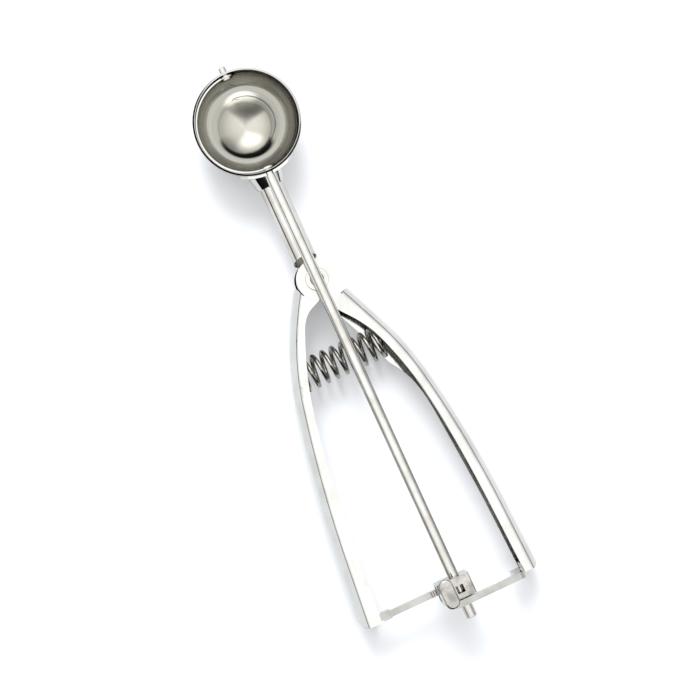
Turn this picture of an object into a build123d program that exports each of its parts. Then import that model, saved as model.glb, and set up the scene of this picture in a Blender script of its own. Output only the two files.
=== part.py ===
"""Lever ice cream scoop with a swinging scraper blade.

Modelled in millimetres about the rod's axis: +X runs along the rod from the bowl to the
handle ends, +Z points out of the bowl's mouth, and the left handle is on the -Y side.
"""
import os
from math import asin, atan, copysign, cos, pi, radians, sin, tan

from build123d import *

# Bowl
BOWL_R = 19.8
BOWL_WALL = 0.9
RIM_Z = 5.0
RIM_ROUND = 0.35

# Far pivot pin, whose end stands out of the bowl as a nub
PIVOT_R = 1.5
PIVOT_HEAD_R = 2.3
PIVOT_HEAD = 0.6
NUB_TIP = 22.3
NUB_BEVEL = 0.4

# Scraper blade, a band cut from a thin ball shell inside the bowl
BLADE_OUTER_R = 18.65
BLADE_THICK = 0.55
BLADE_WIDTH = 5.6
BLADE_EYE_R = 3.3
BLADE_TUCK = 5.0

# Rod
ROD_R = 2.05
ROD_START = 17.5
ROD_END = 198.6
ROD_BEVEL = 0.4
CLIP_GROOVE = (193.1, 193.6)
CLIP_GROOVE_R = 1.6
RUNNING_GAP = 0.05

# Stem: a tube behind the rod, with a flared saddle on the bowl
STEM_R = 4.6
STEM_WALL = 1.0
STEM_Y = -0.8
STEM_Z = -7.1
STEM_END_TOP = 52.2
STEM_END_BOTTOM = 56.6
TONGUE_THICK = 1.2
SADDLE_THICK = 0.9
SADDLE_TOP = 2.2
SADDLE_BOTTOM = -12.6
FLARE_START = 16.0
FLARE_END = 24.4
FLARE_R = 7.6

# Hinge
HINGE_X = 62.4
EAR_R = 7.6
EAR_GAP = 0.1
EAR_CLEAR = 0.4
EYELET_R = 3.3
EYELET_BORE_R = 2.4
EYELET_HEAD_R = 4.3
EYELET_HEAD = 0.5

# Handles: channels that are open inwards, with a bulging outer wall between two flat flanges
SHEET = 1.0
CHANNEL_DEPTH = 15.0
CHANNEL_FRONT = -3.4
CORNER_R = 2.0
BULGE_R = 11.5
FLANGE = 9.0
LEG_TAIL = 40.0
END_ROUND = 3.0
# Outer line of each leg: where and at what angle it starts, its straight, its two arcs
# (radius and degrees) and the x where it is cut off; both are drawn on the +Y side
RIGHT_LEG = {"start": (69.5, 9.27), "angle": 23.85, "straight": 17.4, "bend": (108.4, 13.3),
             "sweep": (399.0, 8.1), "end": 192.4}
LEFT_LEG = {"start": (62.5, 9.08), "angle": 32.5, "straight": 4.5, "bend": (111.7, 20.1),
            "sweep": (502.0, 6.9), "end": 187.0}

# Inner edge of each handle's flanges, from the ear round the crotch to the handle's end
RIGHT_EDGE = [(69.9, -0.6), (72.5, 0.6), (75.2, 2.1), (80.2, 6.0), (87.4, 10.6), (94.7, 13.6),
              (109.5, 17.9), (131.5, 21.3), (161.0, 23.6), (196.0, 25.3)]
# The right handle's back flange is wider beside the spring
RIGHT_BACK_EDGE = [(69.9, -0.6), (72.5, 0.4), (75.8, 1.9), (80.6, 4.2), (85.5, 6.4), (93.5, 9.4),
                   (101.3, 12.6), (107.0, 16.2), (112.0, 18.3), (131.5, 21.3), (161.0, 23.6),
                   (196.0, 25.3)]
LEFT_EDGE = [(69.6, -2.0), (70.5, -4.0), (72.2, -7.6), (74.7, -10.1), (80.1, -12.9), (94.8, -18.4),
             (109.4, -22.1), (131.4, -25.5), (161.0, -28.5), (196.0, -31.7)]

# Necks between the ears and the legs: how far along the leg they reach and where they leave
# the ear's circle (degrees from +X)
RIGHT_NECK = {"lap": 15.0, "leave": 50.0}
LEFT_NECK = {"lap": 20.0, "leave": -120.0}

# Rack pins and racks
PIN_R = 1.0
PIN_EYE_R = 1.8
LEFT_PIN = (185.2, -32.2)
RIGHT_PIN = (190.9, 26.3)
RACK_THICK = 2.4
LEFT_RACK_X = 185.4
RIGHT_RACK_X = 191.75
RACK_BACK = 2.9
RACK_TIP = 4.0
PIN_PLAY = 0.8
LEFT_TEETH = (-5, 1)
RIGHT_TEETH = (-1, 5)
LEFT_HEEL = 1.2
LEFT_STEP = 3.6
LEFT_EYE_DROP = 2.0
KNUCKLE_Y = (1.4, 4.7)
KNUCKLE_WIDE = 3.2
RIGHT_DROP = (5.8, 2.8)
DROP_BEND = (1.0, 1.4)
EYE_LAP = 1.2
RIGHT_EYE_TALL = 5.8

# Gear teeth
MODULE = 0.6
PINION_TEETH = 10
PRESSURE_ANGLE = 20.0
RACK_ADDENDUM = 0.3
RACK_DEDENDUM = 0.75
BACKLASH = 0.16
UPPER_PINION = (183.6, 187.8)
LOWER_PINION = (190.5, 193.1)

# Rack keeper, a folded plate
KEEPER_SHEET = 0.9
KEEPER_X = (182.3, 190.3)
KEEPER_BACK = -8.1
KEEPER_LEFT = -7.5
KEEPER_RIGHT = 5.1
KEEPER_TOP = 4.8
KEEPER_BEND = 0.7
KEEPER_WINDOW = ((185.4, 188.4), (-1.4, 1.5))
RACK_GATE = (-7.1, -2.2)
CHEEK_X = (181.0, 192.3)
CHEEK_TOP = 8.6
CHEEK_THICK = 1.5
CHEEK_RIGHT = -2.1
CHEEK_ROUND = 2.6
CHEEK_EDGE = 0.7

# Spring
SPRING_X = 93.0
SPRING_R = 5.5
WIRE_R = 0.8
SPRING_TURNS = 8.5
SPRING_Y = (-19.6, 14.8)

# Values worked out from the driving dimensions
PITCH_R = MODULE * PINION_TEETH / 2
CHANNEL_BACK = CHANNEL_FRONT - CHANNEL_DEPTH
MID_Z = (CHANNEL_FRONT + CHANNEL_BACK) / 2
HINGE = (HINGE_X, 0.0)
BIG = 80.0
CREASE = BULGE_R - ((BULGE_R - CORNER_R) ** 2 - (CHANNEL_DEPTH / 2 - CORNER_R) ** 2) ** 0.5


def slab(x, y, z):
    """A box given by its lowest and highest x, y and z."""
    size = [high - low for low, high in (x, y, z)]
    centre = [(low + high) / 2 for low, high in (x, y, z)]
    return Pos(*centre) * Box(*size)


def rod_along_x(radius, x_from, x_to, y=0.0, z=0.0):
    """A round bar along X."""
    middle = (x_from + x_to) / 2
    return Pos(middle, y, z) * Rot(0, 90, 0) * Cylinder(radius, x_to - x_from)


def post(radius, centre, z_from, z_to):
    """A round bar along Z."""
    return Pos(centre[0], centre[1], (z_from + z_to) / 2) * Cylinder(radius, z_to - z_from)


def plate(points, z_from, z_to):
    """A flat plate in the XY plane with the outline given by its corners."""
    outline = make_face(Polyline(*points, close=True))
    return Pos(0, 0, z_from) * extrude(outline, z_to - z_from)


def cup(radius, top):
    """A solid ball below the rod's axis with a straight wall above it."""
    return (Sphere(radius) & slab((-BIG, BIG), (-BIG, BIG), (-BIG, 0))) + post(radius, (0, 0), 0, top)


# Bowl and blade

def make_bowl():
    """Ball bowl with a hole in each side for the blade's pivots."""
    solid = cup(BOWL_R, RIM_Z) - cup(BOWL_R - BOWL_WALL, RIM_Z + 1)
    rim = solid.edges().group_by(Axis.Z)[-1]
    solid = fillet(rim, RIM_ROUND)
    solid -= rod_along_x(ROD_R + RUNNING_GAP, 10, 25)
    return solid - rod_along_x(PIVOT_R, -25, -10)


def make_far_pivot():
    """Pin through the bowl's far wall, with a flat head inside the blade's eye."""
    head_face = -(BLADE_OUTER_R - BLADE_THICK - 0.3)
    shank = rod_along_x(PIVOT_R, -NUB_TIP, head_face)
    shank = chamfer(shank.edges().group_by(Axis.X)[0], NUB_BEVEL)
    return shank + rod_along_x(PIVOT_HEAD_R, head_face, head_face + PIVOT_HEAD)


def make_blade():
    """Half ring that follows the inside of the bowl, with an eye round each pivot."""
    shell = Sphere(BLADE_OUTER_R) - Sphere(BLADE_OUTER_R - BLADE_THICK)
    half_width = BLADE_WIDTH / 2
    band = shell & slab((-BIG, BIG), (-BIG, 0), (-half_width, half_width))
    eyes = shell & rod_along_x(BLADE_EYE_R, -BIG, BIG)
    blade = band + eyes
    blade -= rod_along_x(ROD_R, 0, BIG)
    blade -= rod_along_x(PIVOT_R + RUNNING_GAP, -BIG, 0)
    return Rot(BLADE_TUCK, 0, 0) * blade


def make_rod():
    """Straight spindle with a bevelled free end and a clip's groove behind it."""
    rod = rod_along_x(ROD_R, ROD_START, ROD_END)
    rod = chamfer(rod.edges().group_by(Axis.X)[-1], ROD_BEVEL)
    ring = rod_along_x(ROD_R + 1, *CLIP_GROOVE) - rod_along_x(CLIP_GROOVE_R, *CLIP_GROOVE)
    return rod - ring


# Stem and saddle

def make_saddle():
    """Curved plate on the bowl's outside with a flare that narrows to the stem."""
    outside = cup(BOWL_R, RIM_Z)
    skin = cup(BOWL_R + SADDLE_THICK, SADDLE_TOP) - outside
    wide, narrow = 10.4, 7.9
    corners = [(-wide, SADDLE_BOTTOM), (wide, SADDLE_BOTTOM), (wide, -4), (narrow, SADDLE_TOP),
               (-narrow, SADDLE_TOP), (-wide, -4)]
    outline = Plane.YZ * make_face(Polyline(*corners, close=True))
    saddle = skin & extrude(outline, BIG)
    length = FLARE_END - FLARE_START
    wall = STEM_WALL
    place = Pos((FLARE_START + FLARE_END) / 2, STEM_Y, STEM_Z) * Rot(0, 90, 0)
    outer = place * Cone(FLARE_R, STEM_R + 0.8, length)
    inner = place * Cone(FLARE_R - wall, STEM_R, length)
    flare = (outer - inner) - outside
    flare &= slab((0, BIG), (-BIG, BIG), (SADDLE_BOTTOM, 0.6))
    saddle += flare
    saddle -= rod_along_x(ROD_R + 0.5, 0, BIG)
    return saddle - rod_along_x(STEM_R, 0, BIG, STEM_Y, STEM_Z)


def make_stem():
    """Tube with a slanted end and a tongue that reaches the hinge."""
    tube = rod_along_x(STEM_R, FLARE_START, 60, STEM_Y, STEM_Z)
    tube -= cup(BOWL_R, RIM_Z)
    bore = rod_along_x(STEM_R - STEM_WALL, 0, BIG, STEM_Y, STEM_Z)
    top, bottom = STEM_Z + STEM_R + 1, STEM_Z - STEM_R - 1
    slant = [(STEM_END_TOP, top), (STEM_END_BOTTOM, bottom), (BIG, bottom), (BIG, top)]
    cut = Plane.XZ * make_face(Polyline(*slant, close=True))
    tube -= extrude(cut, BIG, both=True)
    z_low = STEM_Z - STEM_R
    z_high = z_low + TONGUE_THICK
    tongue = slab((42, HINGE_X), (STEM_Y - 3.6, STEM_Y + 3.6), (z_low, z_high))
    tongue += post(EAR_R - 1.6, HINGE, z_low, z_high)
    stem = tube + tongue
    stem -= bore & slab((0, STEM_END_BOTTOM - 6), (-BIG, BIG), (z_low + 1, BIG))
    return stem - post(EYELET_R, HINGE, -BIG, BIG)


# Hinge

def front_level(layer):
    """Top of the ears' layer 0 (right handle) or 1 (left handle) at the front."""
    return CHANNEL_FRONT - layer * (SHEET + EAR_GAP)


def ear_levels(layer):
    """The z span of the front ear and of the back ear in one layer."""
    front = front_level(layer)
    back = CHANNEL_BACK + layer * (SHEET + EAR_GAP)
    return (front - SHEET, front), (back, back + SHEET)


def make_eyelet():
    """Hollow rivet with a flat rolled head at both ends."""
    front = CHANNEL_FRONT + RUNNING_GAP
    back = CHANNEL_BACK - RUNNING_GAP
    body = post(EYELET_R, HINGE, back - EYELET_HEAD, front + EYELET_HEAD)
    body += post(EYELET_HEAD_R, HINGE, front, front + EYELET_HEAD)
    body += post(EYELET_HEAD_R, HINGE, back - EYELET_HEAD, back)
    body -= post(EYELET_BORE_R, HINGE, -BIG, BIG)
    return fillet(body.edges().group_by(Axis.Z)[-1], 0.2)


def make_spacer(z_from, z_to):
    """Sleeve on the eyelet between an inner ear and the tongue."""
    return post(EYELET_R + 1.2, HINGE, z_from, z_to) - post(EYELET_R, HINGE, -BIG, BIG)


# Handles

def section_line(inset):
    """Outer line of the channel's section, or the line inset from it, from flange to flange."""
    corner_at = CHANNEL_DEPTH / 2 - CORNER_R
    corner_r = CORNER_R - inset
    bulge_r = BULGE_R - inset
    turn = asin(corner_at / (BULGE_R - CORNER_R))
    half = turn + (pi / 2 - turn) / 2
    flat = corner_at + corner_r
    touch = (BULGE_R - bulge_r * cos(turn), bulge_r * sin(turn))
    between = (CREASE - corner_r * cos(half), corner_at + corner_r * sin(half))
    upper = [(FLANGE, flat), (CREASE, flat), between, touch]
    lower = [(x, -z) for x, z in reversed(upper)]
    return upper, (inset, 0), lower


def section_edges(inset):
    """The edges of that line: flange, corner, bulge, corner, flange."""
    upper, apex, lower = section_line(inset)
    return [Line(*upper[:2]), ThreePointArc(*upper[1:]), ThreePointArc(upper[-1], apex, lower[0]),
            ThreePointArc(*lower[:3]), Line(*lower[2:])]


def channel_section(point, heading):
    """D-shaped section across the leg at one point of its outer line, open on the inner side."""
    plane = Plane(origin=(*point, MID_Z), x_dir=(sin(heading), -cos(heading), 0),
                  z_dir=(cos(heading), sin(heading), 0))
    outer, inner = section_edges(0), section_edges(SHEET)
    lips = [Line(outer[0] @ 0, inner[0] @ 0), Line(outer[-1] @ 1, inner[-1] @ 1)]
    return plane * make_face(outer + inner + lips)


def straight_run(point, heading, length):
    """Straight stretch of channel, and where it ends."""
    end = (point[0] + length * cos(heading), point[1] + length * sin(heading))
    return extrude(channel_section(point, heading), length), end


def curved_run(point, heading, radius, turn):
    """Stretch of channel bent inwards round an arc, with its end and its new heading."""
    centre = (point[0] + radius * sin(heading), point[1] - radius * cos(heading))
    axis = Axis((*centre, 0), (0, 0, -1))
    bent = revolve(channel_section(point, heading), axis, revolution_arc=turn)
    after = heading - radians(turn)
    end = (centre[0] - radius * sin(after), centre[1] + radius * cos(after))
    return bent, end, after


def make_leg(line):
    """Channel of one handle on the +Y side, cut off with a rounded outer corner."""
    heading = radians(line["angle"])
    end_x = line["end"]
    first, point = straight_run(line["start"], heading, line["straight"])
    bend, point, heading = curved_run(point, heading, *line["bend"])
    sweep_run, point, heading = curved_run(point, heading, *line["sweep"])
    tail, _ = straight_run(point, heading, LEG_TAIL)
    leg = first + bend + sweep_run + tail
    outside = point[1] + (end_x - point[0]) * tan(heading)
    corner = Pos(end_x / 2, outside - BIG / 2) * RectangleRounded(end_x, BIG, END_ROUND)
    return leg & extrude(Pos(0, 0, CHANNEL_BACK - 1) * corner, CHANNEL_DEPTH + 2)


def neck_points(side, line, neck):
    """Outline that joins the ear to the leg's flange; side is +1 for the right handle."""
    heading = radians(line["angle"])
    start_x, start_y = line["start"]
    crease = (start_x + CREASE * sin(heading), start_y - CREASE * cos(heading))
    far = (crease[0] + neck["lap"] * cos(heading), crease[1] + neck["lap"] * sin(heading))
    reach = FLANGE - CREASE
    inner = (far[0] + reach * sin(heading), far[1] - reach * cos(heading))
    leg_part = [(x, side * y) for x, y in (crease, far, inner)]
    leave = radians(neck["leave"])
    on_ear = (HINGE_X + EAR_R * cos(leave), EAR_R * sin(leave))
    return [HINGE, on_ear, *leg_part, (HINGE_X + EAR_R, 0)]


def inner_space(edge, z_from, z_to):
    """Everything between two levels on the inner side of a handle's inner edge."""
    (first_x, first_y), (last_x, last_y) = edge[0], edge[-1]
    across = first_y - copysign(BIG, last_y)
    sides = [Spline(*edge), Line((last_x, last_y), (last_x, across)),
             Line((last_x, across), (first_x, across)), Line((first_x, across), (first_x, first_y))]
    return Pos(0, 0, z_from) * extrude(make_face(sides), z_to - z_from)


def make_handle(side):
    """One handle: a channel with an ear at each face; the left one's ears lie inside the others."""
    right = side > 0
    layer, line, neck = (0, RIGHT_LEG, RIGHT_NECK) if right else (1, LEFT_LEG, LEFT_NECK)
    leg = make_leg(line)
    handle = leg if right else mirror(leg, about=Plane.XZ)
    outline = neck_points(side, line, neck)
    for outer, inner in zip(ear_levels(0), ear_levels(layer)):
        levels = sorted(outer + inner)
        handle += plate(outline, levels[0], levels[-1])
    if not right:
        handle -= post(EAR_R + EAR_CLEAR, HINGE, -BIG, BIG)
        for z_from, z_to in ear_levels(layer):
            handle += plate(outline, z_from, z_to)
    front_edge, back_edge = (RIGHT_EDGE, RIGHT_BACK_EDGE) if right else (LEFT_EDGE, LEFT_EDGE)
    handle -= inner_space(front_edge, MID_Z, CHANNEL_FRONT + 1)
    handle -= inner_space(back_edge, CHANNEL_BACK - 1, MID_Z)
    for z_from, z_to in ear_levels(layer):
        handle += post(EAR_R, HINGE, z_from, z_to)
    return handle - post(EYELET_R + RUNNING_GAP, HINGE, -BIG, BIG)


def make_rack_pin(place):
    """Cross pin between the two flanges at a handle's end."""
    return post(PIN_R, place, CHANNEL_BACK + SHEET, CHANNEL_FRONT - SHEET)


# Gears

def make_pinion(span):
    """Ten-tooth collar; a gap between two teeth points straight down and straight up."""
    pressure = radians(PRESSURE_ANGLE)
    base_r = PITCH_R * cos(pressure)
    root_r = PITCH_R - 0.62
    tip_r = PITCH_R + MODULE * 0.95
    half_pitch_tooth = (pi * MODULE / 2 - BACKLASH) / 2 / PITCH_R
    inv_pressure = tan(pressure) - pressure

    def half_angle(radius):
        roll = (max(radius, base_r) ** 2 / base_r ** 2 - 1) ** 0.5
        return half_pitch_tooth + inv_pressure - (roll - atan(roll))

    outline = []
    levels = [root_r, base_r, (base_r + PITCH_R) / 2, PITCH_R, (PITCH_R + tip_r) / 2, tip_r]
    for tooth in range(PINION_TEETH):
        middle = 2 * pi * tooth / PINION_TEETH
        rising = [(r, middle - half_angle(r)) for r in levels]
        falling = [(r, middle + half_angle(r)) for r in reversed(levels)]
        outline += [(r * cos(a), r * sin(a)) for r, a in rising + falling]
    face = Plane.YZ * make_face(Polyline(*outline, close=True))
    gear = Pos(span[0], 0, 0) * extrude(face, span[1] - span[0])
    return gear - rod_along_x(ROD_R, 0, 3 * BIG)


def rack_teeth(numbers, thick, x_middle):
    """Teeth that point to +Z from the line z = 0, centred on multiples of the pitch."""
    pitch = pi * MODULE
    slope = tan(radians(PRESSURE_ANGLE))
    half = pitch / 4 - BACKLASH / 2
    teeth = []
    for number in range(numbers[0], numbers[1] + 1):
        y = number * pitch
        low = half + RACK_DEDENDUM * slope
        high = half - RACK_ADDENDUM * slope
        corners = [(y - low, -RACK_DEDENDUM - 0.1), (y + low, -RACK_DEDENDUM - 0.1),
                   (y + high, RACK_ADDENDUM), (y - high, RACK_ADDENDUM)]
        face = Plane.YZ * make_face(Polyline(*corners, close=True))
        teeth.append(Pos(x_middle - thick / 2, 0, 0) * extrude(face, thick))
    return teeth


def bar_in_yz(corners, x_middle):
    """Bar of the racks' thickness with an outline in the YZ plane."""
    face = Plane.YZ * make_face(Polyline(*corners, close=True))
    return Pos(x_middle - RACK_THICK / 2, 0, 0) * extrude(face, RACK_THICK)


def make_left_rack():
    """Straight rack behind the rod, teeth up, with a knuckle in its handle's notch."""
    root = -PITCH_R - RACK_DEDENDUM
    back = root - RACK_BACK
    top = CHANNEL_FRONT - SHEET - PIN_PLAY
    low = back - LEFT_EYE_DROP
    end = LEFT_PIN[1] + LEFT_HEEL
    corners = [(RACK_TIP, root), (RACK_TIP, back), (end + LEFT_STEP, back), (end, low), (end, top),
               (end + LEFT_STEP, top), (end + LEFT_STEP + 0.4, root)]
    rack = bar_in_yz(corners, LEFT_RACK_X)
    for tooth in rack_teeth(LEFT_TEETH, RACK_THICK, LEFT_RACK_X):
        rack += Pos(0, 0, -PITCH_R) * tooth
    half = KNUCKLE_WIDE / 2
    knuckle = slab((LEFT_RACK_X - half, LEFT_RACK_X + half), (end + KNUCKLE_Y[0], end + KNUCKLE_Y[1]),
                   (low, CHANNEL_FRONT - SHEET / 2))
    rack += post(PIN_EYE_R, LEFT_PIN, low, top) + knuckle
    return rack - post(PIN_R + RUNNING_GAP, LEFT_PIN, -BIG, BIG)


def make_right_rack():
    """Rack in front of the rod, teeth down, with a leg that drops into its handle."""
    root = PITCH_R + RACK_DEDENDUM
    back = root + RACK_BACK
    pin_y = RIGHT_PIN[1]
    top = CHANNEL_FRONT - SHEET - PIN_PLAY
    low = top - RIGHT_EYE_TALL
    drop_in, drop_out = (pin_y - y for y in RIGHT_DROP)
    tight, wide = DROP_BEND
    corners = [(-RACK_TIP, root), (drop_in - tight, root), (drop_in, root - tight), (drop_in, low),
               (pin_y - EYE_LAP, low), (pin_y - EYE_LAP, top), (drop_out, top),
               (drop_out, back - wide), (drop_out - wide, back), (-RACK_TIP, back)]
    rack = bar_in_yz(corners, RIGHT_RACK_X)
    for tooth in rack_teeth(RIGHT_TEETH, RACK_THICK, RIGHT_RACK_X):
        rack += Pos(0, 0, PITCH_R) * mirror(tooth, about=Plane.XY)
    rack += post(PIN_EYE_R, RIGHT_PIN, low, top)
    return rack - post(PIN_R + RUNNING_GAP, RIGHT_PIN, -BIG, BIG)


# Rack keeper

def make_keeper():
    """Folded box round the upper pinion, with a tall left wall that carries the front cheek."""
    sheet = KEEPER_SHEET
    low, high = KEEPER_X
    wide = (KEEPER_LEFT, KEEPER_RIGHT)
    box = slab(KEEPER_X, wide, (KEEPER_BACK, KEEPER_TOP))
    far_edges = box.edges().filter_by(Axis.X).group_by(Axis.Y)[-1]
    box = fillet(far_edges.group_by(Axis.Z)[-1], KEEPER_BEND)
    inside = slab((low + sheet, high - sheet), (KEEPER_LEFT + sheet, KEEPER_RIGHT - sheet),
                  (KEEPER_BACK + sheet, KEEPER_TOP - sheet))
    box -= inside
    box -= slab(*KEEPER_WINDOW, (KEEPER_TOP - 2 * sheet, KEEPER_TOP + sheet))
    straight = (CHEEK_X[0] + CHEEK_ROUND, CHEEK_X[1] - CHEEK_ROUND)
    cheek_back = CHEEK_TOP - CHEEK_THICK
    wall = slab(straight, (KEEPER_LEFT, KEEPER_LEFT + sheet), (KEEPER_TOP - sheet, cheek_back))
    size = (CHEEK_X[1] - CHEEK_X[0], CHEEK_RIGHT - KEEPER_LEFT)
    middle = Pos(sum(CHEEK_X) / 2, (CHEEK_RIGHT + KEEPER_LEFT) / 2)
    outline = middle * RectangleRounded(*size, CHEEK_ROUND)
    cheek = Pos(0, 0, cheek_back) * extrude(outline, CHEEK_THICK)
    cheek = fillet(cheek.edges().group_by(Axis.Z)[-1], CHEEK_EDGE)
    keeper = box + wall + cheek
    gate = (low + sheet, high - sheet)
    keeper -= slab(gate, (KEEPER_LEFT - sheet, KEEPER_LEFT + 2 * sheet), RACK_GATE)
    keeper -= slab(gate, (KEEPER_RIGHT - 2 * sheet, KEEPER_RIGHT + sheet), RACK_GATE)
    return keeper - rod_along_x(ROD_R + RUNNING_GAP, 0, 3 * BIG)


# Spring

def make_spring():
    """Round-wire coil along Y between the two handles."""
    height = SPRING_Y[1] - SPRING_Y[0] - 2 * WIRE_R
    path = Helix(height / SPRING_TURNS, height, SPRING_R)
    section = Plane(origin=path @ 0, z_dir=path % 0) * Circle(WIRE_R)
    coil = sweep(section, path, is_frenet=True)
    return Pos(SPRING_X, SPRING_Y[0] + WIRE_R, MID_Z) * Rot(-90, 0, 0) * coil


def main():
    tongue_low = STEM_Z - STEM_R
    tongue_high = tongue_low + TONGUE_THICK
    inner_front = ear_levels(1)[0][0]
    inner_back = ear_levels(1)[1][1]
    nodes = {
        "bowl": make_bowl(),
        "far_pivot": make_far_pivot(),
        "blade": make_blade(),
        "rod": make_rod(),
        "upper_pinion": make_pinion(UPPER_PINION),
        "lower_pinion": make_pinion(LOWER_PINION),
        "saddle": make_saddle(),
        "stem": make_stem(),
        "hinge_eyelet": make_eyelet(),
        "hinge_spacer_front": make_spacer(tongue_high, inner_front - RUNNING_GAP),
        "hinge_spacer_back": make_spacer(inner_back + RUNNING_GAP, tongue_low),
        "left_handle": make_handle(-1),
        "right_handle": make_handle(1),
        "left_rack_pin": make_rack_pin(LEFT_PIN),
        "right_rack_pin": make_rack_pin(RIGHT_PIN),
        "left_rack": make_left_rack(),
        "right_rack": make_right_rack(),
        "rack_keeper": make_keeper(),
        "spring": make_spring(),
    }
    os.makedirs("parts", exist_ok=True)
    boxes = [shape.bounding_box() for shape in nodes.values()]
    low = [min(getattr(box.min, axis) for box in boxes) for axis in "XYZ"]
    high = [max(getattr(box.max, axis) for box in boxes) for axis in "XYZ"]
    shift = (-(low[0] + high[0]) / 2, -(low[1] + high[1]) / 2, -low[2])
    print("moved by", [round(value, 4) for value in shift])
    for name, shape in nodes.items():
        export_step(Pos(*shift) * shape, f"parts/{name}.step")


main()
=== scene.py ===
import math

import bmesh
import bpy
from mathutils import Matrix, Vector


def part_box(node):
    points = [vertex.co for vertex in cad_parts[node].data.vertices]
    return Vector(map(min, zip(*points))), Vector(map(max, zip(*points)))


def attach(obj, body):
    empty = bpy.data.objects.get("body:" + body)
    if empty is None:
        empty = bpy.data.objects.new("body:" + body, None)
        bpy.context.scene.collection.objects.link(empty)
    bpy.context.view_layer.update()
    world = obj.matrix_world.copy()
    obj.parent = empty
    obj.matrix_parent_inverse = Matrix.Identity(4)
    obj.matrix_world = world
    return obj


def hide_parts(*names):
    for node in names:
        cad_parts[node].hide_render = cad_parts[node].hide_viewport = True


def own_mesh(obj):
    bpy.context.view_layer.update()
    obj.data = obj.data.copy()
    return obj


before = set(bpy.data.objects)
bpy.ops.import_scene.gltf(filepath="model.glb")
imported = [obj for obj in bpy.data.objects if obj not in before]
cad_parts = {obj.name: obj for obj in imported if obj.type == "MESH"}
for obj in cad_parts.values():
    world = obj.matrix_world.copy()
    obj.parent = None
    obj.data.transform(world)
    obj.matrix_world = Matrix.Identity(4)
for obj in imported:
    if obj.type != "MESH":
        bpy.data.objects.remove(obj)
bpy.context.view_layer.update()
print("frame loaded:", len(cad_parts), "nodes")

mm = 0.001
mergeGap = 0.001 * mm           # corners nearer than this are one corner

# where the main parts are, from the frame
rodLow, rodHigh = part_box("rod")
bowlLow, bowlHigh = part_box("bowl")
rodAxis = (rodLow + rodHigh) / 2
rodRadius = (rodHigh.z - rodLow.z) / 2
bowlMiddle = Vector(((bowlLow.x + bowlHigh.x) / 2, (bowlLow.y + bowlHigh.y) / 2, rodAxis.z))


# ---- materials

def hexToLinear(code):
    parts = [int(code[i:i + 2], 16) / 255 for i in (1, 3, 5)]
    linear = [p / 12.92 if p <= 0.04045 else ((p + 0.055) / 1.055) ** 2.4 for p in parts]
    return (*linear, 1.0)


def addNode(tree, kind, settings=None, links=None):
    node = tree.nodes.new(kind)
    for name, value in (settings or {}).items():
        if isinstance(name, int) or name in node.inputs:
            node.inputs[name].default_value = value
        else:
            setattr(node, name, value)
    for name, (source, socket) in (links or {}).items():
        tree.links.new(source.outputs[socket], node.inputs[name])
    return node


def startMaterial(name):
    material = bpy.data.materials.new(name)
    material.use_nodes = True
    tree = material.node_tree
    tree.nodes.clear()
    return material, tree


def rampStops(node, stops):
    ramp = node.color_ramp
    while len(ramp.elements) < len(stops):
        ramp.elements.new(0.5)
    for element, (place, colour) in zip(ramp.elements, stops):
        element.position = place
        element.color = colour if not isinstance(colour, str) else hexToLinear(colour)


mirrorSteel = {
    "colour": "#c6c6c3",        # 18/8 stainless, buffed on a soft wheel: neutral, bright
    "shade": "#bbbbb7",
    "roughLow": 0.05,
    "roughHigh": 0.13,
    "buffLine": 0.35 * mm,      # buffing lines, drawn coarse so that they show
    "buffDepth": 0.0006 * mm,
    "smear": 9.0 * mm,          # size of the dull patches left by hands and cloth
    "roughSpan": (0.15, 0.40),  # the part of the pattern that goes from low to high roughness
    "shadeSpan": (0.35, 0.62),  # and the part that goes from the shade to the colour
}
drawnSteel = dict(mirrorSteel, colour="#c6c5c1", shade="#b4b2ac", roughLow=0.08, roughHigh=0.16,
                  buffLine=0.30 * mm, buffDepth=0.0010 * mm)      # drawn through a die: lines along the bar
stampedSteel = dict(mirrorSteel, colour="#bebcb7", shade="#a09d95", roughLow=0.14, roughHigh=0.26,
                    smear=3.0 * mm, buffLine=0.25 * mm,
                    buffDepth=0.0015 * mm)                        # stamped and barrel-tumbled: a soft grey
wireSteelPaintedShade = dict(mirrorSteel, colour="#a3a19b", shade="#7d7a73", roughLow=0.05, roughHigh=0.12,
                 smear=2.0 * mm)                                  # spring wire, given a darker grey as painted shade for the dark sides of the coils
rackSteel = dict(mirrorSteel, colour="#a5a5a1", shade="#93938e", roughLow=0.08,
                 roughHigh=0.14)                                  # blanked bar, a darker grey than the handles
keeperSteelPaintedShade = dict(mirrorSteel, colour="#b2b0ab", shade="#86847e", roughLow=0.16, roughHigh=0.30,
                   smear=5.0 * mm)                                # folded plate, satin from the tumbling drum; its darker colour is painted shade for the keeper's shaded box


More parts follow.
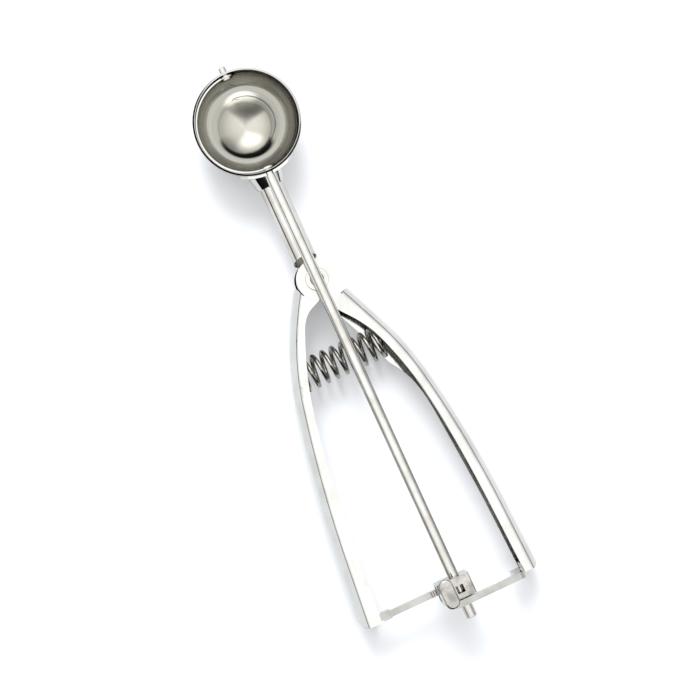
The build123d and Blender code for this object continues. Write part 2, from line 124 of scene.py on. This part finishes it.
def makeBuffedSteel(name, spec, stretch):
    material, tree = startMaterial(name)
    place = addNode(tree, "ShaderNodeTexCoord")
    along = addNode(tree, "ShaderNodeMapping", {"Scale": stretch}, {"Vector": (place, "Object")})
    lines = addNode(tree, "ShaderNodeTexNoise", {"Scale": 1 / spec["buffLine"], "Detail": 2.0},
                    {"Vector": (along, "Vector")})
    smear = addNode(tree, "ShaderNodeTexNoise", {"Scale": 1 / spec["smear"], "Detail": 4.0},
                    {"Vector": (place, "Object")})
    mixed = addNode(tree, "ShaderNodeMath", {"operation": "MULTIPLY"},
                    {0: (lines, "Fac"), 1: (smear, "Fac")})
    roughFrom, roughTo = spec["roughSpan"]
    rough = addNode(tree, "ShaderNodeMapRange",
                    {"From Min": roughFrom, "From Max": roughTo, "To Min": spec["roughLow"],
                     "To Max": spec["roughHigh"]}, {"Value": (mixed, "Value")})
    tint = addNode(tree, "ShaderNodeValToRGB", {}, {"Fac": (smear, "Fac")})
    shadeAt, colourAt = spec["shadeSpan"]
    rampStops(tint, [(shadeAt, spec["shade"]), (colourAt, spec["colour"])])
    bump = addNode(tree, "ShaderNodeBump", {"Strength": 1.0, "Distance": spec["buffDepth"]},
                   {"Height": (lines, "Fac")})
    shader = addNode(tree, "ShaderNodeBsdfPrincipled", {"Metallic": 1.0},
                     {"Base Color": (tint, "Color"), "Roughness": (rough, "Result"),
                      "Normal": (bump, "Normal")})
    addNode(tree, "ShaderNodeOutputMaterial", {}, {"Surface": (shader, "BSDF")})
    return material


spunSteel = {
    "colour": "#c6c6c2",        # deep-drawn bowl, polished on a lathe: rings round its axis
    "shade": "#b2b0aa",
    "satinPaintedShadeColour": "#b0ada5",   # painted shade: the satin bottom gets a darker, warmer colour than the wall, standing in for the dark reflections in it
    "ring": 0.9 * mm,
    "ringDepth": 0.003 * mm,
    "ringRough": 0.04,          # how much rougher the rings make the metal
    "shadeSpan": (0.30, 0.65),
    "satinRadius": 10.8 * mm,   # the bottom keeps a satin finish that the wheel didn't reach
    "satinEdge": 0.85,          # share of that radius where the satin starts to fade
    "roughWall": 0.04,
    "roughBottom": 0.20,
    "stretch": 0.95,            # how far the turning marks pull the sheen outwards
}


def makeSpunSteel(name, spec):
    material, tree = startMaterial(name)
    place = addNode(tree, "ShaderNodeTexCoord")
    centred = addNode(tree, "ShaderNodeMapping", {"Location": tuple(-bowlMiddle)},
                      {"Vector": (place, "Object")})
    parts = addNode(tree, "ShaderNodeSeparateXYZ", {}, {"Vector": (centred, "Vector")})
    flat = addNode(tree, "ShaderNodeCombineXYZ", {}, {"X": (parts, "X"), "Y": (parts, "Y")})
    radius = addNode(tree, "ShaderNodeVectorMath", {"operation": "LENGTH"}, {0: (flat, "Vector")})
    ringPlace = addNode(tree, "ShaderNodeCombineXYZ", {}, {"X": (radius, "Value"), "Z": (parts, "Z")})
    rings = addNode(tree, "ShaderNodeTexNoise", {"Scale": 1 / spec["ring"], "Detail": 3.0},
                    {"Vector": (ringPlace, "Vector")})
    bottom = addNode(tree, "ShaderNodeMapRange",
                     {"interpolation_type": "SMOOTHSTEP", "From Min": spec["satinRadius"] * spec["satinEdge"],
                      "From Max": spec["satinRadius"], "To Min": spec["roughBottom"],
                      "To Max": spec["roughWall"]},
                     {"Value": (radius, "Value")})
    rough = addNode(tree, "ShaderNodeMath", {"operation": "MULTIPLY_ADD", 1: spec["ringRough"]},
                    {0: (rings, "Fac"), 2: (bottom, "Result")})
    tint = addNode(tree, "ShaderNodeValToRGB", {}, {"Fac": (rings, "Fac")})
    shadeAt, colourAt = spec["shadeSpan"]
    rampStops(tint, [(shadeAt, spec["shade"]), (colourAt, spec["colour"])])
    bump = addNode(tree, "ShaderNodeBump", {"Strength": 1.0, "Distance": spec["ringDepth"]},
                   {"Height": (rings, "Fac")})
    # painted shade: towards the bottom the colour blends from the ring tint to the darker, warmer satin
    # colour
    dull = addNode(tree, "ShaderNodeMapRange",
                   {"From Min": spec["roughWall"], "From Max": spec["roughBottom"]},
                   {"Value": (bottom, "Result")})
    ringTintAndPaintedShade = addNode(tree, "ShaderNodeMix", {"data_type": "RGBA", 7: hexToLinear(spec["satinPaintedShadeColour"])},
                   {0: (dull, "Result"), 6: (tint, "Color")})
    stretch = addNode(tree, "ShaderNodeMapRange",
                      {"From Min": spec["roughWall"], "From Max": spec["roughBottom"], "To Min": 0.0,
                       "To Max": spec["stretch"]}, {"Value": (bottom, "Result")})
    shader = addNode(tree, "ShaderNodeBsdfPrincipled", {"Metallic": 1.0},
                     {"Base Color": (ringTintAndPaintedShade, 2), "Roughness": (rough, "Value"), "Normal": (bump, "Normal"),
                      "Anisotropic": (stretch, "Result"), "Tangent": (flat, "Vector")})
    addNode(tree, "ShaderNodeOutputMaterial", {}, {"Surface": (shader, "BSDF")})
    return material


buffedHandle = makeBuffedSteel("buffedStainlessHandle", mirrorSteel, (0.06, 1.0, 1.0))
spunBowl = makeSpunSteel("lathePolishedStainless", spunSteel)
drawnRod = makeBuffedSteel("drawnStainlessRod", drawnSteel, (0.03, 1.0, 1.0))
stampedGear = makeBuffedSteel("tumbledStainlessStamping", stampedSteel, (1.0, 0.3, 1.0))
satinKeeperPaintedShade = makeBuffedSteel("satinStainlessPlatePaintedShade", keeperSteelPaintedShade, (1.0, 0.2, 1.0))
plainRack = makeBuffedSteel("blankedStainlessRack", rackSteel, (1.0, 0.06, 1.0))
springWirePaintedShade = makeBuffedSteel("stainlessSpringWirePaintedShade", wireSteelPaintedShade, (1.0, 1.0, 1.0))
print("materials made")


# ---- pieces

levelNormal = 0.9999            # a face is level when its normal is this near to vertical
bendAngle = 35.0                # a bend sharper than this, in degrees, keeps its edge


def addPiece(name, bm, body, nodes, slot, material, smoothAngle=bendAngle):
    bm.normal_update()
    for face in bm.faces:
        face.smooth = True
    for edge in bm.edges:                  # a level face keeps its own normal beside a small bend
        level = [abs(face.normal.z) > levelNormal for face in edge.link_faces]
        bent = len(level) == 2 and edge.calc_face_angle() > math.radians(smoothAngle)
        edge.smooth = not bent and (len(level) < 2 or level[0] == level[1])
    mesh = bpy.data.meshes.new(name)
    bm.to_mesh(mesh)
    bm.free()
    mesh.materials.append(material)
    piece = bpy.data.objects.new(name, mesh)
    bpy.context.scene.collection.objects.link(piece)
    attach(piece, body)
    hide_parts(*nodes)
    return piece


def addLine(bm, points):
    line = [bm.verts.new(points[0])]
    for spot in points[1:]:
        line.append(bmesh.ops.extrude_vert_indiv(bm, verts=[line[-1]])["verts"][0])
        line[-1].co = spot
    return line


rodShape = {
    "bevel": 0.4 * mm,
    "groove": (193.1 * mm, 193.6 * mm),    # the clip's groove, from the bowl's middle
    "grooveRadius": 1.6 * mm,
    "around": 96,
}


def makeRod(spec):
    bm = bmesh.new()
    low, high = rodLow.x, rodHigh.x
    bevel, (near, far) = spec["bevel"], (bowlMiddle.x + place for place in spec["groove"])
    points = [(low, 0), (low, rodRadius), (near, rodRadius), (near, spec["grooveRadius"]),
              (far, spec["grooveRadius"]), (far, rodRadius), (high - bevel, rodRadius),
              (high, rodRadius - bevel), (high, 0)]
    addLine(bm, [(x, 0, radius) for x, radius in points])
    bmesh.ops.spin(bm, geom=bm.verts[:] + bm.edges[:], cent=(0, 0, 0), axis=(1, 0, 0),
                   angle=2 * math.pi, steps=spec["around"], use_merge=True)
    bmesh.ops.remove_doubles(bm, verts=bm.verts[:], dist=mergeGap)
    bmesh.ops.recalc_face_normals(bm, faces=bm.faces[:])
    bmesh.ops.translate(bm, verts=bm.verts[:], vec=(0, rodAxis.y, rodAxis.z))
    return addPiece("rodBar", bm, "rod", ["rod"], "drawn_steel", drawnRod)


bowlShell = {
    "radius": (bowlHigh.x - bowlLow.x) / 2,
    "wall": 0.9 * mm,
    "rimSlope": (0.50 * mm, 0.45 * mm),    # the lip slopes down outside, and mirrors the dark horizon
    "rimRound": 0.08 * mm,
    "ballSteps": 48,
    "around": 192,
}


def makeBowl(spec):
    bm = bmesh.new()
    outer, inner = spec["radius"], spec["radius"] - spec["wall"]
    rimZ, roundR = bowlHigh.z - rodAxis.z, spec["rimRound"]
    steps = spec["ballSteps"]
    turns = [math.pi / 2 * i / steps for i in range(steps + 1)]
    outside = [(outer * math.sin(turn), -outer * math.cos(turn)) for turn in turns]
    inside = [(inner * math.sin(turn), -inner * math.cos(turn)) for turn in reversed(turns)]
    slopeWide, slopeTall = spec["rimSlope"]
    rim = [(outer, rimZ - slopeTall - 2 * roundR), (outer - roundR, rimZ - slopeTall - roundR),
           (outer - roundR - slopeWide, rimZ - roundR), (outer - 2 * roundR - slopeWide, rimZ),
           (inner + roundR, rimZ), (inner, rimZ - roundR)]
    addLine(bm, [(x, 0, z) for x, z in outside + rim + inside])
    bmesh.ops.spin(bm, geom=bm.verts[:] + bm.edges[:], cent=(0, 0, 0), axis=(0, 0, 1),
                   angle=2 * math.pi, steps=spec["around"], use_merge=True)
    bmesh.ops.remove_doubles(bm, verts=bm.verts[:], dist=mergeGap)
    bmesh.ops.recalc_face_normals(bm, faces=bm.faces[:])
    bmesh.ops.translate(bm, verts=bm.verts[:], vec=bowlMiddle)
    return addPiece("bowlShell", bm, "frame", ["bowl"], "polished_steel", spunBowl)


def smoothNode(node, name, body, slot, material, smoothAngle=bendAngle):
    bm = bmesh.new()
    bm.from_mesh(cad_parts[node].data)
    bmesh.ops.remove_doubles(bm, verts=bm.verts[:], dist=2 * mergeGap)
    return addPiece(name, bm, body, [node], slot, material, smoothAngle)


makeBowl(bowlShell)
makeRod(rodShape)

# the other parts keep the solids' shape, with their triangles joined so that the metal reads as smooth
turnedParts = {
    "blade": ("scraperBand", "rod", "polished_steel", buffedHandle),
    "far_pivot": ("farPivotPin", "frame", "polished_steel", buffedHandle),
    "upper_pinion": ("upperPinionCollar", "rod", "plain_steel", stampedGear),
    "lower_pinion": ("lowerPinionCollar", "rod", "plain_steel", stampedGear),
    "saddle": ("bowlSaddle", "frame", "polished_steel", buffedHandle),
    "stem": ("stemTube", "frame", "drawn_steel", drawnRod),
    "hinge_eyelet": ("hingeEyelet", "frame", "polished_steel", buffedHandle),
    "hinge_spacer_front": ("frontSpacer", "frame", "plain_steel", stampedGear),
    "hinge_spacer_back": ("backSpacer", "frame", "plain_steel", stampedGear),
    "left_handle": ("leftHandleChannel", "left_handle", "polished_steel", buffedHandle),
    "right_handle": ("rightHandleChannel", "right_handle", "polished_steel", buffedHandle),
    "left_rack_pin": ("leftRackPin", "left_handle", "plain_steel", stampedGear),
    "right_rack_pin": ("rightRackPin", "right_handle", "plain_steel", stampedGear),
    "left_rack": ("leftRackBar", "left_rack", "polished_steel", plainRack),
    "right_rack": ("rightRackBar", "right_rack", "polished_steel", plainRack),
    "rack_keeper": ("rackKeeperPlate", "keeper", "polished_steel", satinKeeperPaintedShade),
}
for node, (name, body, slot, material) in turnedParts.items():
    smoothNode(node, name, body, slot, material)

wireBendAngle = 60.0               # the wire's facets are all smoothed, and only its cut ends are sharp

spring = smoothNode("spring", "handleSpring", "frame", "spring_steel", springWirePaintedShade, wireBendAngle)
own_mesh(spring)
print("pieces made")


# ---- floor, light and camera

floorSpec = {
    "size": 8.0,
    "colour": "#dadde2",        # smooth pale board
    "grain": 0.8 * mm,
    "grainDepth": 0.02 * mm,
    "grainStrength": 0.2,
    "lift": 0.30,               # share of plain white that the camera and the metal see
}


def makeFloor(spec):
    bm = bmesh.new()
    bmesh.ops.create_grid(bm, x_segments=1, y_segments=1, size=spec["size"] / 2)
    mesh = bpy.data.meshes.new("floorBoard")
    bm.to_mesh(mesh)
    bm.free()
    floor = bpy.data.objects.new("floorBoard", mesh)
    bpy.context.scene.collection.objects.link(floor)
    material, tree = startMaterial("whiteBoard")
    place = addNode(tree, "ShaderNodeTexCoord")
    grain = addNode(tree, "ShaderNodeTexNoise", {"Scale": 1 / spec["grain"], "Detail": 3.0},
                    {"Vector": (place, "Object")})
    bump = addNode(tree, "ShaderNodeBump",
                   {"Strength": spec["grainStrength"], "Distance": spec["grainDepth"]},
                   {"Height": (grain, "Fac")})
    board = addNode(tree, "ShaderNodeBsdfDiffuse", {"Color": hexToLinear(spec["colour"])},
                    {"Normal": (bump, "Normal")})
    white = addNode(tree, "ShaderNodeEmission", {"Color": (1, 1, 1, 1), "Strength": 1.0})
    path = addNode(tree, "ShaderNodeLightPath")
    seen = addNode(tree, "ShaderNodeMath", {"operation": "MAXIMUM"},
                   {0: (path, "Is Camera Ray"), 1: (path, "Is Glossy Ray")})
    share = addNode(tree, "ShaderNodeMath", {"operation": "MULTIPLY", 1: spec["lift"]},
                    {0: (seen, "Value")})
    mixed = addNode(tree, "ShaderNodeMixShader", {},
                    {0: (share, "Value"), 1: (board, "BSDF"), 2: (white, "Emission")})
    addNode(tree, "ShaderNodeOutputMaterial", {}, {"Surface": (mixed, "Shader")})
    mesh.materials.append(material)


makeFloor(floorSpec)

tent = {
    "strength": 1.95,           # about twice the plain level, with the lamp: it whitens the flats
    # brightness of the light tent from the horizon (0) to straight up (1)
    "bands": [(0.0, "#5a5a58"), (0.03, "#161614"), (0.17, "#121210"), (0.23, "#b4b4b1"),
              (0.42, "#cdcdcb"), (0.66, "#ececea"), (0.85, "#ffffff")],
    "farSide": 0.80,            # towards +Y the tent falls to this share of its strength
    "farReach": 0.7,            # and has fallen that far at this height on the Y axis
    "roomSide": (0.91, -0.42, 0.0),        # the open side of the tent, where the dark room shows
    "roomAcross": (0.42, 0.91, 0.0),
    "roomTaper": -0.42,         # how fast the dark room narrows to its sides
    "roomEdge": (0.13, 0.27),
    "roomLevel": 0.01,
    "window": (-0.78, 0.10, 0.62),         # direction of the soft bright patch
    "windowEdge": (0.80, 0.97),
    "windowLevel": 2.6,
}


def makeWorld(spec):
    world = bpy.data.worlds.new("lightTent")
    bpy.context.scene.world = world
    world.use_nodes = True
    tree = world.node_tree
    tree.nodes.clear()
    place = addNode(tree, "ShaderNodeTexCoord")
    parts = addNode(tree, "ShaderNodeSeparateXYZ", {}, {"Vector": (place, "Generated")})
    bands = addNode(tree, "ShaderNodeValToRGB", {}, {"Fac": (parts, "Z")})
    rampStops(bands, spec["bands"])
    side = addNode(tree, "ShaderNodeMapRange",
                   {"From Min": 0.0, "From Max": spec["farReach"], "To Min": spec["strength"],
                    "To Max": spec["strength"] * spec["farSide"]},
                   {"Value": (parts, "Y")})

    def towards(direction):
        return addNode(tree, "ShaderNodeVectorMath", {"operation": "DOT_PRODUCT", 1: direction},
                       {0: (place, "Generated")})

    across = addNode(tree, "ShaderNodeMath", {"operation": "ABSOLUTE"},
                     {0: (towards(spec["roomAcross"]), "Value")})
    room = addNode(tree, "ShaderNodeMath", {"operation": "MULTIPLY_ADD", 1: spec["roomTaper"]},
                   {0: (across, "Value"), 2: (towards(spec["roomSide"]), "Value")})
    roomLow, roomHigh = spec["roomEdge"]
    dark = addNode(tree, "ShaderNodeMapRange",
                   {"interpolation_type": "SMOOTHSTEP", "From Min": roomLow, "From Max": roomHigh,
                    "To Min": 1.0, "To Max": spec["roomLevel"]}, {"Value": (room, "Value")})
    windowLow, windowHigh = spec["windowEdge"]
    window = addNode(tree, "ShaderNodeMapRange",
                     {"interpolation_type": "SMOOTHSTEP", "From Min": windowLow, "From Max": windowHigh,
                      "To Min": 1.0, "To Max": spec["windowLevel"]},
                     {"Value": (towards(spec["window"]), "Value")})
    shaded = addNode(tree, "ShaderNodeMath", {"operation": "MULTIPLY"},
                     {0: (side, "Result"), 1: (dark, "Result")})
    level = addNode(tree, "ShaderNodeMath", {"operation": "MULTIPLY"},
                    {0: (shaded, "Value"), 1: (window, "Result")})
    sky = addNode(tree, "ShaderNodeBackground", {},
                  {"Color": (bands, "Color"), "Strength": (level, "Value")})
    addNode(tree, "ShaderNodeOutputWorld", {}, {"Surface": (sky, "Background")})


makeWorld(tent)

keyLamp = {
    "place": (-0.66, 0.10, 0.75),
    "aim": (0.0, 0.0, 0.01),
    "size": 0.45,
    "watts": 9.0,
}


def aimedMatrix(place, aim):
    direction = Vector(aim) - Vector(place)
    return Matrix.Translation(place) @ direction.to_track_quat("-Z", "Y").to_matrix().to_4x4()


def makeLamp(spec):
    lamp = bpy.data.lights.new("softWindow", "AREA")
    lamp.shape = "DISK"
    lamp.size = spec["size"]
    lamp.energy = spec["watts"]
    holder = bpy.data.objects.new("softWindow", lamp)
    bpy.context.scene.collection.objects.link(holder)
    holder.matrix_world = aimedMatrix(spec["place"], spec["aim"])
    holder.visible_glossy = False          # the metal sees the tent's window instead


makeLamp(keyLamp)

cameraSpec = {
    "place": (-13.0 * mm, -68.38 * mm, 930.66 * mm),
    "turnDeg": (0.969, -4.509, 65.375),
    "focalPixels": 2500.0,
    "imagePixels": 700.0,
    "sensor": 36.0,
    "clip": (0.01, 20.0),
}


def makeCamera(spec):
    camera = bpy.data.cameras.new("camera")
    camera.sensor_width = spec["sensor"]
    camera.lens = spec["focalPixels"] / spec["imagePixels"] * spec["sensor"]
    camera.clip_start, camera.clip_end = spec["clip"]
    holder = bpy.data.objects.new("camera", camera)
    bpy.context.scene.collection.objects.link(holder)
    holder.location = spec["place"]
    holder.rotation_euler = [math.radians(turn) for turn in spec["turnDeg"]]
    bpy.context.scene.camera = holder


makeCamera(cameraSpec)
bpy.context.scene.view_settings.view_transform = "Standard"
print("floor, light and camera made")
